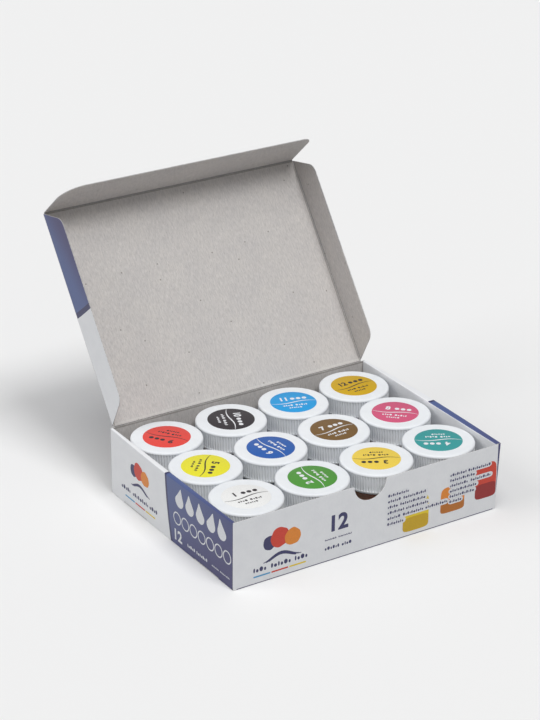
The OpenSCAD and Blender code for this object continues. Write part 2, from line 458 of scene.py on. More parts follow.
def printed_board(name, along, across, boundary, curve, far, rise, stripe=2.0, fade_from=-0.85, fade_to=0.15):
    """White board with a navy field below a boundary on one axis.

    The boundary bends by curve as the other axis goes down from far by rise. A darker stripe edges the field,
    whose blue fades from fade_from to fade_to.
    """
    look = Look(name)
    u = look.axis(along)
    v = look.axis(across)
    down = look.math("DIVIDE", look.math("SUBTRACT", far, v), rise)
    bend = look.times(look.times(down, down), curve)
    over = look.math("SUBTRACT", look.math("SUBTRACT", boundary, bend), u)
    field = look.step(over, -0.05, 0.05)
    rim = look.times(field, look.step(over, stripe - 0.4, stripe, 1.0, 0.0))
    fade = look.math("SUBTRACT", look.math("DIVIDE", u, 2 * PANEL_Y), look.times(down, 0.5))
    tint = look.math("ADD", fade, look.times(look.noise(1.4, 2.0), 0.12))
    navy = look.mix(rim, look.vary(tint, NAVY_LOW, NAVY_TOP, fade_from, fade_to), NAVY_LINE)
    return coated_surface(look, look.mix(field, COATED, navy))


def grey_board(name, grain="Y", painted_fold_lines=()):
    """Uncoated side: recycled grey pulp with flecks and fibres along the grain.

    Lines beside the folds are given as (axis, place, half width, tone): painted shade where the tone is dark, and a
    painted highlight where it is light.
    """
    look = Look(name)
    stretch = FIBRE_SCALE if grain == "Y" else (FIBRE_SCALE[1], FIBRE_SCALE[0], FIBRE_SCALE[2])
    streak = look.noise(stretch, 3.0, (2, 4, 0))
    fibre = look.noise(tuple(1.9 * s for s in stretch), 3.0)
    cloud = look.noise(0.045, 3.0, (3, 5, 0))
    colour = look.vary(fibre, GREY_DARK, GREY_LIGHT)
    colour = look.tint(colour, streak, (0.93, 0.93, 0.935), (1.05, 1.045, 1.04), 0.32, 0.68)
    colour = look.tint(colour, cloud, (0.975, 0.975, 0.98), (1.025, 1.022, 1.015))
    for scale, shift, radius, share, tone in FLECKS:
        spot = look.step(look.cells(scale, shift, "2D"), radius * 0.6, radius, share, 0.0)
        colour = look.mix(spot, colour, tone)
    for axis, place, half, tone in painted_fold_lines:
        # a painted line along a fold: shade where its tone is dark, a highlight where it is light
        fold_line = look.line(look.axis(axis), place, half, 0.3)
        colour = look.mix(look.times(fold_line, 0.55), colour, tone)
    wave = look.noise((0.035, 0.03, 0.03), 1.0)
    normal = look.bump(fibre, 0.06, 0.5, look.bump(wave, 1.0, 0.3))
    return look.done(colour, look.vary(fibre, 0.82, 0.95), normal, Specular_IOR_Level=0.25)


def cut_edge():
    """Raw cut of the board, with its grey plies."""
    look = Look("board_cut", "Object")
    plies = look.noise((0.6, 0.6, 6.0), 3.0)
    colour = look.vary(plies, (0.36, 0.35, 0.34), (0.60, 0.59, 0.58))
    return look.done(colour, 0.92, look.bump(plies, 0.05, 0.5), Specular_IOR_Level=0.2)


def crease_look(name, colour, crack_and_shade_tone, across):
    """Board bent along a score, darker in the middle of the crease: cracks in the coating on the coated side, and
    painted shade along the fold on the grey side.
    """
    look = Look(name)
    fibre = look.noise((0.25, 2.0, 1.0), 3.0)
    valley = look.line(look.axis("Y"), across / 2, across * 0.3, across * 0.3)
    # darker middle of the crease: cracked coating on the coated side, painted shade along the fold on the grey side
    crack_and_shade = look.times(valley, look.step(fibre, 0.2, 0.6, 0.6, 0.9))
    return look.done(look.mix(crack_and_shade, colour, crack_and_shade_tone), 0.85, look.bump(fibre, 0.03, 0.4))


def ink(name, colour):
    """Offset ink: a little uneven over the coating."""
    look = Look("ink_" + name, "Object")
    grain = look.noise(1.6, 3.0)
    tone = look.tint(colour, grain, (0.93, 0.93, 0.93), (1.06, 1.06, 1.06), 0.25, 0.75)
    return look.done(tone, look.vary(grain, 0.38, 0.50), look.bump(grain, 0.01, 0.3), Specular_IOR_Level=0.35)


def cap_look():
    """Moulded white polypropylene."""
    look = Look("cap_plastic", "Object")
    cloud = look.noise(0.12, 3.0)
    grain = look.noise(3.0, 2.0)
    colour = look.vary(cloud, PLASTIC, PLASTIC_DULL)
    return look.done(colour, look.vary(grain, 0.42, 0.54), look.bump(grain, 0.01, 0.3), Subsurface_Weight=0.12,
                     Subsurface_Radius=(0.003, 0.003, 0.0035), Subsurface_Scale=1.0, Specular_IOR_Level=0.3)


def jar_look(name, paint):
    """Thin milky wall: the paint shows through it up to its level."""
    look = Look("jar_" + name, "Object")
    smear = look.noise((0.15, 0.15, 0.6), 4.0)
    level = look.math("ADD", look.axis("Z"), look.times(smear, 1.6))
    full = look.step(level, SHOULDER_Z + 0.8, SHOULDER_Z + 1.6, 1.0, 0.0)
    behind = tuple(0.03 + 0.75 * c for c in paint)
    share = look.times(full, look.step(smear, 0.2, 0.8, 0.72, 0.9))
    colour = look.mix(share, PLASTIC, behind)
    return look.done(colour, look.vary(smear, 0.26, 0.36), look.bump(smear, 0.03, 0.3), Subsurface_Weight=0.1,
                     Subsurface_Radius=(0.002, 0.002, 0.002), Subsurface_Scale=1.0)


def paint_look(name, colour):
    """Moist gouache with soft swirls."""
    look = Look("gouache_" + name, "Object")
    swirl = look.noise(0.16, 4.0)
    grain = look.noise(1.3, 2.0)
    tone = look.vary(swirl, tuple(c * 0.82 for c in colour), colour)
    normal = look.bump(grain, 0.02, 0.4, look.bump(swirl, 0.5, 0.5))
    return look.done(tone, look.vary(swirl, 0.35, 0.55), normal)


def seal_look():
    """Closed-cell foam disc."""
    look = Look("seal_foam", "Object")
    pores = look.cells(2.6)
    colour = look.vary(pores, (0.62, 0.61, 0.57), (0.80, 0.79, 0.75), 0.1, 0.6)
    return look.done(colour, 0.8, look.bump(pores, 0.05, 0.5))


# ---- meshes


def build_mesh(name, verts, faces, skins=None, smooth=35):
    """Mesh from points in millimetres; skins are the faces' material numbers."""
    mesh = bpy.data.meshes.new(name)
    mesh.from_pydata([Vector(v) * MM for v in verts], [], faces)
    if skins:
        mesh.polygons.foreach_set("material_index", skins)
    mesh.shade_smooth()
    mesh.set_sharp_from_angle(angle=radians(smooth))
    mesh.validate()
    return mesh


def added(name, data):
    """A new object in the scene."""
    obj = bpy.data.objects.new(name, data)
    bpy.context.scene.collection.objects.link(obj)
    return obj


def put(name, mesh, looks, body, slot, nodes=(), place=None):
    """Adds a piece that rides on a body and stands for some CAD nodes."""
    obj = added(name, mesh)
    if not mesh.materials:
        for look in looks:
            mesh.materials.append(look)
    if place is not None:
        obj.matrix_world = place
    if body:
        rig.ride(obj, body)
    if nodes:
        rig.replaces(obj, *nodes)
    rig.slot(obj, slot)
    return obj


def sheet_mesh(name, grid, missing=None, skin=None):
    """Closed board from grid[i][j] = (outer point, inner point, uv), all in millimetres.

    Materials are 0 outer face, 1 inner face, 2 cut edge. missing(i, j) leaves a cell out,
    and skin(i, j) gives the outer face of a cell another material.
    """
    cells = [(i, j) for i in range(len(grid) - 1) for j in range(len(grid[0]) - 1)
             if not (missing and missing(i, j))]
    kept = set(cells)
    bm = bmesh.new()
    layer = bm.loops.layers.uv.new("UVMap")
    made = {}

    def vert(i, j, side):
        if (i, j, side) not in made:
            made[i, j, side] = bm.verts.new(Vector(grid[i][j][side]) * MM)
        return made[i, j, side]

    def face(ends, material):
        new = bm.faces.new([vert(*end) for end in ends])
        new.material_index = material
        new.smooth = True
        for loop, (i, j, _) in zip(new.loops, ends):
            loop[layer].uv = Vector(grid[i][j][2]) * MM

    for i, j in cells:
        ring = [(i, j), (i + 1, j), (i + 1, j + 1), (i, j + 1)]
        face([(*c, 0) for c in ring], skin(i, j) if skin else 0)
        face([(*c, 1) for c in reversed(ring)], 1)
        beside = [(i, j - 1), (i + 1, j), (i, j + 1), (i - 1, j)]
        for k, other in enumerate(beside):
            if other not in kept:
                a, b = ring[k], ring[(k + 1) % 4]
                face([(*b, 0), (*a, 0), (*a, 1), (*b, 1)], 2)
    rims = [e for e in bm.edges
            if len(e.link_faces) == 2 and sum(f.material_index == 2 for f in e.link_faces) == 1]
    bmesh.ops.recalc_face_normals(bm, faces=bm.faces)
    bmesh.ops.bevel(bm, geom=rims, offset=EDGE_ROUND * MM, segments=1, affect="EDGES",
                    profile=0.5, clamp_overlap=True)
    mesh = bpy.data.meshes.new(name)
    bm.to_mesh(mesh)
    bm.free()
    mesh.set_sharp_from_angle(angle=radians(30))
    return mesh


def board(name, grid, looks, body, slot, nodes=(), place=None, missing=None, skin=None):
    """Adds a piece of folded board."""
    return put(name, sheet_mesh(name, grid, missing, skin), looks, body, slot, nodes, place)


def backed(point, normal, uv, thick=BOARD - INK_LIFT):
    """A grid entry whose inner point lies one board thickness behind the outer one."""
    return Vector(point), Vector(point) - Vector(normal) * thick, uv


def arc_points(cx, cy, radius, start, end, steps):
    """(x, y, normal x, normal y) along an arc, angles in degrees."""
    found = []
    for angle in span(radians(start), radians(end), steps):
        c, s = cos(angle), sin(angle)
        found.append((cx + radius * c, cy + radius * s, c, s))
    return found


def in_section(arc):
    """The (x, z) places of an arc's points."""
    return [point[:2] for point in arc]


def near(r, z, *offsets):
    """Profile points at some offsets from (r, z)."""
    return [(r + dr, z + dz) for dr, dz in offsets]


def turned(profile, segments, reach=None):
    """Shell of revolution from (radius, z) points; reach(k, angle) is taken off ring k's radius."""
    verts, faces, rings = [], [], []
    for k, (r, z) in enumerate(profile):
        start = len(verts)
        for angle, c, s in circle(segments)[:segments if r else 1]:
            out = r - (reach(k, angle) if reach else 0)
            verts.append((out * c, out * s, z))
        rings.append(range(start, len(verts)))
    for low, high in zip(rings, rings[1:]):
        for s in range(segments):
            t = (s + 1) % segments
            loop = (low[s % len(low)], low[t % len(low)], high[t % len(high)], high[s % len(high)])
            faces.append(tuple(dict.fromkeys(loop)))
    return verts, faces


def thread(base_r, tip_r, start_z, start_turn, turns):
    """Helical ridge from base_r to tip_r that runs out at both ends."""
    steps = int(turns * THREAD_STEPS)
    verts, faces = [], []
    for k in range(steps + 1):
        grow = max(0.05, min(1, k / THREAD_RUN_OUT, (steps - k) / THREAD_RUN_OUT))
        angle = 2 * pi * (start_turn + turns * k / steps)
        z = start_z + THREAD_PITCH * turns * k / steps
        out = base_r + (tip_r - base_r) * grow
        for r, dz in ((base_r, -THREAD_ROOT), (out, -THREAD_TIP), (out, THREAD_TIP), (base_r, THREAD_ROOT)):
            verts.append((r * cos(angle), r * sin(angle), z + dz))
    for k in range(steps):
        for s in range(4):
            a, b = 4 * k + s, 4 * k + (s + 1) % 4
            faces.append((a, b, b + 4, a + 4))
    faces.append((0, 3, 2, 1))
    faces.append(tuple(4 * steps + s for s in range(4)))
    return verts, faces


def joined(*parts):
    """One point and face list from several."""
    verts, faces = [], []
    for more_verts, more_faces in parts:
        start = len(verts)
        verts += more_verts
        faces += [tuple(start + k for k in f) for f in more_faces]
    return verts, faces


# ---- printed shapes


def fan(count):
    """Faces from point 0 to each two neighbours on the closed ring of points 1 to count."""
    return [(0, 1 + k, 1 + (k + 1) % count) for k in range(count)]


def strip(count):
    """Faces of a strip that has two points at each of count + 1 marks."""
    return [(2 * k, 2 * k + 2, 2 * k + 3, 2 * k + 1) for k in range(count)]


class Print:
    """Flat inked shapes on one panel. u runs to the reader's right and v up the page."""

    def __init__(self):
        self.parts = []
        self.layer = 0

    def add(self, colour, verts, faces):
        self.parts.append((colour, verts, faces, self.layer))

    def bar(self, colour, u, v, width, height):
        """A bar with rounded ends, from its left end and its middle line."""
        end = min(height, width) / 2
        marks = [u, u + end * 0.3] + span(u + end, u + width - end, max(1, int(width / 4)))
        marks += [u + width - end * 0.3, u + width]
        verts = []
        for mark in marks:
            away = min(mark - u, u + width - mark, end) / end
            half = height / 2 * max(0.35, sqrt(1 - (1 - away) ** 2))
            verts += [(mark, v - half), (mark, v + half)]
        self.add(colour, verts, strip(len(marks) - 1))

    def words(self, colour, u, v, lengths, height, gap):
        """A row of small marks where a line of lettering would be."""
        for length in lengths:
            end = u + length
            k = round(7 * length)
            while end - u > 0.3 * height:
                width = min(height * MARK_WIDTHS[k % 5], end - u)
                tall = height * MARK_HEIGHTS[(k * k) % 4]
                self.bar(colour, u, v - (height - tall) / 2, width, tall)
                u += width + MARK_GAP * height
                k += 1
            u = end + gap

    def dab(self, colour, u, v, radius, seed, wobble):
        """A round dab of paint with an uneven rim."""
        verts, faces = [(u, v)], []
        for ring in (0.5, 1.0):
            for a, c, s in circle(ROUND_STEPS):
                swell = sin(3 * a + seed) + 0.6 * sin(5 * a + 2.1 * seed) + 0.4 * sin(8 * a + seed)
                r = radius * ring * (1 + wobble * swell)
                verts.append((u + r * c, v + r * s))
        for k in range(ROUND_STEPS):
            t = (k + 1) % ROUND_STEPS
            faces.append((0, 1 + k, 1 + t))
            faces.append((1 + k, 1 + ROUND_STEPS + k, 1 + ROUND_STEPS + t, 1 + t))
        self.add(colour, verts, faces)

    def outline(self, colour, u, v, edge):
        """A filled shape from its middle and a list of (du, dv) round it."""
        verts = [(u, v)] + [(u + du, v + dv) for du, dv in edge]
        self.add(colour, verts, fan(len(edge)))

    def drop(self, colour, u, v, radius, lean):
        """A paint drop with its tip up."""
        edge = []
        for _, c, s in circle(40):
            high = max(0.0, s)
            narrow = 1 - 0.62 * high ** 2
            edge.append((radius * (c * narrow + lean * high ** 2), radius * (s + 0.9 * high ** 3)))
        self.outline(colour, u, v, edge)

    def block(self, colour, u, v, width, height):
        """A patch of flat colour with soft corners."""
        soft = 0.42
        edge = []
        for _, c, s in circle(64):
            edge.append((width / 2 * copysign(abs(c) ** soft, c), height / 2 * copysign(abs(s) ** soft, s)))
        self.outline(colour, u, v, edge)

    def ring(self, colour, u, v, radius, width):
        """A thin round outline."""
        edges = (radius - width / 2, radius + width / 2)
        verts = [(u + r * c, v + r * s) for _, c, s in circle(ROUND_STEPS) for r in edges]
        faces = []
        for k in range(ROUND_STEPS):
            t = (k + 1) % ROUND_STEPS
            faces.append((2 * k, 2 * k + 1, 2 * t + 1, 2 * t))
        self.add(colour, verts, faces)

    def stroke(self, colour, points, width, seed, bristles, taper):
        """A brush stroke along points, whose bristles start and stop unevenly."""
        count = len(points) - 1
        sides = []
        for k, (u, v) in enumerate(points):
            before, after = points[max(k - 1, 0)], points[min(k + 1, count)]
            du, dv = after[0] - before[0], after[1] - before[1]
            length = hypot(du, dv)
            swell = 1 - taper * abs(2 * k / count - 1) ** 1.5
            sides.append((u, v, -dv / length * width * swell, du / length * width * swell))
        ragged = 1.6 if bristles > 1 else 0
        for b in range(bristles):
            first = int(ragged * (1 + sin(12.9 * b + seed)))
            last = count - int(ragged * (1 + sin(7.7 * b + 3 * seed + 1)))
            low, high = b / bristles - 0.5, (b + 1) / bristles - 0.5
            verts = []
            for u, v, nu, nv in sides[first:last + 1]:
                verts += [(u + nu * low, v + nv * low), (u + nu * high, v + nv * high)]
            self.add(colour, verts, strip(last - first))

    def number(self, colour, text, u, v, height, bold):
        """A plain numeral, centred on (u, v)."""
        curve = bpy.data.curves.new("numeral", "FONT")
        curve.body = text
        curve.offset = bold
        curve.resolution_u = 5
        obj = added("numeral", curve)
        bpy.context.view_layer.update()
        shown = obj.evaluated_get(bpy.context.evaluated_depsgraph_get())
        mesh = shown.to_mesh()
        points = [tuple(p.co) for p in mesh.vertices]
        faces = [tuple(p.vertices) for p in mesh.polygons]
        shown.to_mesh_clear()
        bpy.data.objects.remove(obj)
        bpy.data.curves.remove(curve)
        low, high = corners(points)
        middle = (low + high) / 2
        scale = height / (high.y - low.y)
        verts = [(u + (x - middle.x) * scale, v + (y - middle.y) * scale) for x, y, _ in points]
        self.add(colour, verts, faces)

    def put(self, name, surface, body, slot, place=None):
        """Lays the shapes on a panel: surface(u, v) gives the point and its outward normal."""
        colours = list(dict.fromkeys(part[0] for part in self.parts))
        verts, faces, skins = [], [], []
        for colour, flat, loops, layer in self.parts:
            start = len(verts)
            lift = INK_LIFT * (layer + 1) / LAYERS
            for u, v in flat:
                point, normal = surface(u, v)
                verts.append(Vector(point) + Vector(normal) * lift)
            faces += [tuple(start + k for k in loop) for loop in loops]
            skins += [colours.index(colour)] * len(loops)
        mesh = build_mesh(name, verts, faces, skins)
        put(name, mesh, [ink_looks[c] for c in colours], body, slot, place=place)


def level_face(z):
    """Print surface that lies flat at a height."""
    return lambda u, v: ((u, v, z), (0, 0, 1))


# ---- looks in use

white_face = white_board("coated_white")
grey_face = grey_board("grey_pulp")
grey_side = grey_board("grey_pulp_side", "X")
edge_face = cut_edge()
wall_print = printed_board("wall_print", "X", "Y", 2.6, 3.6, TRAY_H, TRAY_H)
right_print = printed_board("right_wall_print", "X", "Y", -0.6, 3.6, TRAY_H, TRAY_H)
flap_print = printed_board("flap_print", "X", "Y", -64.8, 0.6, 0.0, 20.0, 3.4, -1.25, -0.72)
lid_print = printed_board("lid_print", "Y", "X", -64.8, 0.0, 0.0, 200.0, 3.4, -0.95, -0.45)
# A dark line of painted shade under the hinge fold, at the top of the back wall's inside.
grey_back = grey_board("grey_pulp_back", "Y", [("Y", BACK_H - 0.5, 0.5, DARK_FLECK_AND_FOLD_SHADE)])
# Painted shade beside the tuck fold and both side-flap folds, and a painted highlight along the hinge fold.
lid_grey = grey_board("lid_pulp", "Y",
                      [("Y", lid_low.y + 0.5, 0.25, DARK_FLECK_AND_FOLD_SHADE),
                       ("Y", lid_high.y - 1.0, 0.35, LIGHT_FLECK_AND_FOLD_HIGHLIGHT),
                       ("X", lid_high.x - 0.6, 0.2, DARK_FLECK_AND_FOLD_SHADE),
                       ("X", lid_low.x + 0.6, 0.2, DARK_FLECK_AND_FOLD_SHADE)])
crease_white = crease_look("crease_coated", COATED, (0.50, 0.49, 0.48), 1.2)
# The dark middle of the grey crease is painted shade along the fold.
crease_grey = crease_look("crease_pulp", GREY_LIGHT, (0.15, 0.14, 0.13), 0.9)
ink_looks = {name: ink(name, colour) for name, colour in INKS.items()}
cap_plastic = cap_look()
seal_foam = seal_look()

BOARD_LOOKS = [white_face, grey_face, edge_face]

# ---- tray


def notch_curve():
    """(x, top) along the right half of the thumb notch, from its bottom to the straight edge."""
    reach = NOTCH_R + NOTCH_SHOULDER
    shoulder_x = sqrt(reach ** 2 - NOTCH_SHOULDER ** 2)
    meet = degrees(asin(NOTCH_SHOULDER / reach))
    bowl = arc_points(0, TRAY_H, NOTCH_R, -90, -meet, 16)
    shoulder = arc_points(shoulder_x, TRAY_H - NOTCH_SHOULDER, NOTCH_SHOULDER, 180 - meet, 90, 6)
    return in_section(bowl + shoulder[1:])


def end_wall_path(top, notched):
    """(x, depth, normal x, normal depth, top, u) from the middle of an end wall to its right corner flap."""
    flat_end, reach = HALF_W - INK_LIFT - FOLD_R, FRONT_Y - INK_LIFT
    notch = notch_curve() if notched else [(0, top)]
    path = [(x, reach, 0, 1, z, x) for x, z in notch]
    path += [(x, reach, 0, 1, top, x) for x in span(notch[-1][0], flat_end, 14)[1:]]
    for x, d, nx, nd in arc_points(0, 0, FOLD_R, 90, 0, FOLD_STEPS)[1:]:
        path.append((flat_end + x, reach - FOLD_R + d, nx, nd, top, flat_end + FOLD_R * atan2(x, d)))
    low_top = TRAY_H - BOARD - CORNER_FLAP_DROP
    turn_u = flat_end + FOLD_R * pi / 2
    for depth in [SEAM] + span(SEAM + 1, CORNER_FLAP_L, 6):
        path.append((FLAP_X, reach - FOLD_R - depth, 1, 0, low_top, turn_u + depth))
    return path


def end_wall(name, end, nodes):
    """Front or back wall with its two corner flaps, one folded strip of board."""
    half_path = end_wall_path(TRAY_H if end < 0 else BACK_H, end < 0)
    left = [(-x, d, -nx, nd, top, -u) for x, d, nx, nd, top, u in reversed(half_path[1:])]
    grid = []
    for x, depth, nx, nd, top, u in left + half_path:
        zs = span(0 if nd > 0 else BOARD + CORNER_FLAP_DROP, top, WALL_STEPS)
        grid.append([backed((x, end * depth, z), (nx, end * nd, 0), (u, z)) for z in zs])
    looks = [white_face, grey_face if end < 0 else grey_back, edge_face]
    board(name, grid, looks, "tray", "white_board", nodes)


def wall_top_x(side, y):
    """Outer edge of a side wall's spine; the right wall also stands open at its front end."""
    bulge = cos(pi / 2 * y / PANEL_Y)
    if side > 0 > y:
        bulge = FRONT_FLARE + (1 - FRONT_FLARE) * bulge
    return HALF_W - INK_LIFT + BOW[side] * bulge


def in_tab(y):
    return abs(abs(y) - TAB_Y) < TAB_L / 2


def side_wall_row(side, y):
    """Section of a doubled side wall: up the outside, over the spine and down the inside."""
    low_x, top_x = HALF_W - INK_LIFT, wall_top_x(side, y)
    z_low, z_fold = TAB_LIFT if in_tab(y) else 0, TRAY_H - FOLD_R
    tilt = atan2(top_x - low_x, TRAY_H)
    section = [(low_x + (top_x - low_x) * z / TRAY_H, z, cos(tilt), -sin(tilt))
               for z in span(z_low, z_fold, WALL_STEPS)]
    section += arc_points(top_x - FOLD_R, z_fold, FOLD_R, 0, 90, FOLD_STEPS)[1:]
    section += arc_points(WALL_X + FOLD_R, z_fold, FOLD_R, 90, 180, INNER_FOLD_STEPS)
    section += [(WALL_X, z, -1, 0) for z in span(z_fold, BOARD, 6)[1:] + [BASE_GAP]]
    row, along = [], z_low
    for k, (x, z, nx, nz) in enumerate(section):
        if k:
            along += hypot(x - section[k - 1][0], z - section[k - 1][1])
        row.append(backed((side * x, y, z), (side * nx, 0, nz), (y, along)))
    return row


def side_wall(label, side):
    """Doubled side wall, folded from one strip, with its locking tabs through the base."""
    end = PANEL_Y - SEAM
    tab_ends = [s * TAB_Y + t * TAB_L / 2 for s in (-1, 1) for t in (-1, 1)]
    marks = sorted(span(-end, end, 44) + [y + s * HAIR for y in tab_ends for s in (-1, 1)])
    grid = [side_wall_row(side, y) for y in marks]
    rows = len(grid[0])
    spine_end = WALL_STEPS + FOLD_STEPS + INNER_FOLD_STEPS - 2

    def missing(i, j):
        return j == rows - 2 and not in_tab((marks[i] + marks[i + 1]) / 2)

    looks = [wall_print if side < 0 else right_print, grey_side, edge_face, white_face]
    nodes = [label + "_outer_wall", label + "_inner_wall"]
    board(label + "_side_board", grid, looks, "tray", "printed_board", nodes,
          missing=missing, skin=lambda i, j: 0 if j < spine_end else 3)


def wall_end_fold(name):
    """Narrow printed fold that closes the open front end of the right wall."""
    end_y = PANEL_Y - SEAM + HAIR
    spine_x = wall_top_x(1, -end_y)
    grid = []
    for z in span(2 * HAIR, TRAY_H - INSET, WALL_STEPS):
        reach = max(HALF_W + (spine_x - HALF_W) * z / TRAY_H - HAIR, HALF_W - 2 * HAIR)
        grid.append([backed((x, -end_y, z), (0, -1, 0), (-x, z)) for x in span(WALL_X + INSET, reach, 3)])
    board(name, grid, [right_print, grey_side, edge_face], "tray", "printed_board")


def lock_tab(name, side, centre):
    """End of a locking tab, folded out under the foot of the outer wall."""
    grid = []
    for y in span(centre - TAB_L / 2 + INSET, centre + TAB_L / 2 - INSET, 8):
        ends = 0.15 * max(0.0, abs(y - centre) - TAB_L / 2 + TAB_CORNER)
        xs = span(WALL_X + BOARD + 2 * HAIR, HALF_W - 3 * HAIR - ends, 4)
        grid.append([backed((side * x, y, TAB_GAP), (0, 0, -1), (y, x), TAB_BOARD) for x in xs])
    board(name, grid, BOARD_LOOKS, "tray", "white_board")


def base(name):
    """Floor of the tray, with slots for the locking tabs."""
    slot_x = (WALL_X - SLOT_CLEAR, WALL_X + BOARD + SLOT_CLEAR)
    slot_y = (TAB_Y - TAB_L / 2 - SLOT_CLEAR, TAB_Y + TAB_L / 2 + SLOT_CLEAR)
    edge_x = HALF_W - 2 * BOARD
    xs = [-edge_x, -slot_x[1]] + span(-slot_x[0], slot_x[0], 16) + [slot_x[1], edge_x]
    ys = sorted(span(-PANEL_Y, PANEL_Y, 12) + [s * y for s in (-1, 1) for y in slot_y])
    grid = [[backed((x, y, BASE_GAP), (0, 0, -1), (x, y)) for y in ys] for x in xs]

    def missing(i, j):
        x, y = (xs[i] + xs[i + 1]) / 2, (ys[j] + ys[j + 1]) / 2
        return slot_x[0] < abs(x) < slot_x[1] and slot_y[0] < abs(y) < slot_y[1]

    board(name, grid, BOARD_LOOKS, "tray", "grey_board", ["base_panel"], missing=missing)


# ---- lid


def flap_half(half, depth, lean, radius, at):
    """Half length of a flap at one depth: its end leans in and its free corner is round."""
    tilt = radians(lean)
    centre_d = depth - radius
    centre_h = half - (radius + centre_d * sin(tilt)) / cos(tilt)
    if at <= centre_d + radius * sin(tilt):
        return half - at * tan(tilt)
    return centre_h + sqrt(max(0.0, radius ** 2 - (at - centre_d) ** 2))


def flap_grid(half, depth, ends, columns, entry):
    """Grid over a flap: entry(place along it, depth) makes each grid entry. ends are (lean, radius) by side."""
    largest = max(radius for _, radius in ends.values())
    marks = span(CREASE_DEPTH, depth - largest, 6)
    marks += [depth - largest * (1 - sin(radians(a))) for a in span(0, 90, 14)[1:]]
    grid = []
    for share in span(-1, 1, columns):
        lean, radius = ends[1 if share > 0 else -1]
        grid.append([entry(share * flap_half(half, depth, lean, radius, d), d) for d in marks])
    return grid


def lid_panel(name):
    top = lid_high.z - INK_LIFT
    ys = span(lid_low.y, lid_high.y, 20)
    grid = [[backed((x, y, top), (0, 0, 1), (x, y)) for y in ys] for x in span(lid_low.x, lid_high.x, 28)]
    board(name, grid, [lid_print, lid_grey, edge_face], "lid", "lid_board", ["lid_panel"], LID)


def side_flap(label, side):
    """Side flap of the lid, folded square to it."""
    middle = (flap_low.y + flap_high.y) / 2
    half = (flap_high.y - flap_low.y) / 2
    ends = {k: (SIDE_FLAP_LEAN, SIDE_FLAP_R) for k in (-1, 1)}

    def entry(along, depth):
        y, z = middle + along, flap_high.z - depth
        return backed((side * (flap_high.x - INK_LIFT), y, z), (side, 0, 0), (y, z))

    grid = flap_grid(half, flap_high.z - flap_low.z, ends, 36, entry)
    node = label + "_lid_flap"
    slot = "lid_board" if side > 0 else "printed_board"
    board(label + "_flap_board", grid, [flap_print, grey_side, edge_face], node, slot, [node], LID)


def tuck_flap(name):
    def entry(along, depth):
        return backed((along, INK_LIFT, -depth), (0, -1, 0), (along, -depth))

    grid = flap_grid(tuck_high.x, -tuck_low.z, TUCK_ENDS, 44, entry)
    board(name, grid, BOARD_LOOKS, "tuck_flap", "lid_board", ["tuck_flap"], TUCK)


def curve_through(a, corner, b, t):
    """Point of the quadratic curve from a to b that heads for corner."""
    return a * (1 - t) ** 2 + corner * 2 * t * (1 - t) + b * t ** 2


def crease(name, outer, inner, ends, spot, place, bodies):
    """Bent strip between two panels, blended from one body to the other.

    outer and inner are (start, corner, end) in the crease's section. ends are the (middle, half length) of
    the crease at start and end. spot(along, section point) gives the place in the panels' space.
    """
    (middle, half), (last_middle, last_half) = ends

    def point(side, share, t):
        along = middle + (last_middle - middle) * t + share * (half + (last_half - half) * t)
        return spot(along, curve_through(*[Vector(p) for p in side], t))

    grid = [[(point(outer, share, t), point(inner, share, t), (share * HALF_W, t)) for t in span(0, 1, 8)]
            for share in span(-1, 1, 24)]
    obj = board(name, grid, [crease_white, crease_grey, edge_face], None, "lid_board", place=place)
    start, end = [place @ (Vector(point(inner, 0, t)) * MM) for t in (0, 1)]
    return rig.blend(obj, bodies[0], bodies[1], start, end)


def lid_creases():
    top, under = lid_high.z - INK_LIFT, lid_low.z
    root_x, root_in = flap_high.x - INK_LIFT, flap_low.x
    flap_z = flap_high.z - CREASE_DEPTH
    flap_lean = CREASE_DEPTH * tan(radians(SIDE_FLAP_LEAN))
    flap_ends = [((lid_low.y + lid_high.y) / 2, (lid_high.y - lid_low.y) / 2),
                 ((flap_low.y + flap_high.y) / 2, (flap_high.y - flap_low.y) / 2 - flap_lean)]
    for side, label in SIDES:
        crease(f"crease_{label}_flap",
               [(lid_high.x, top), (root_x, top), (root_x, flap_z)],
               [(lid_high.x, under), (root_in, under), (root_in, flap_z)],
               flap_ends, lambda along, p: (side * p.x, along, p.y), LID, ("lid", f"{label}_lid_flap"))

    def across(along, p):
        return along, p.x, p.y

    def seen_from(space, y, z):
        p = space @ (Vector((0, y, z)) * MM) / MM
        return p.y, p.z

    crease("crease_tuck",
           [(lid_low.y, top), (tuck_root.y + INK_LIFT, top), seen_from(TUCK_IN_LID, INK_LIFT, -CREASE_DEPTH)],
           [(lid_low.y, under), seen_from(TUCK_IN_LID, BOARD, -BOARD),
            seen_from(TUCK_IN_LID, BOARD, -CREASE_DEPTH)],
           [(0, lid_high.x), (0, tuck_high.x)], across, LID, ("lid", "tuck_flap"))

    outer_y = FRONT_Y - INK_LIFT
    outer_end, inner_end = seen_from(LID, lid_high.y, top), seen_from(LID, lid_high.y, under)
    crease("crease_hinge",
           [(outer_y, BACK_H), ((outer_y + outer_end[0]) / 2, BACK_H - HINGE_SAG), outer_end],
           [(PANEL_Y, BACK_H), (PANEL_Y + HINGE_SAG, BACK_H + HINGE_RISE), inner_end],
           [(0, lid_high.x)] * 2, across, Matrix.Identity(4), ("tray", "lid"))


# ---- jars


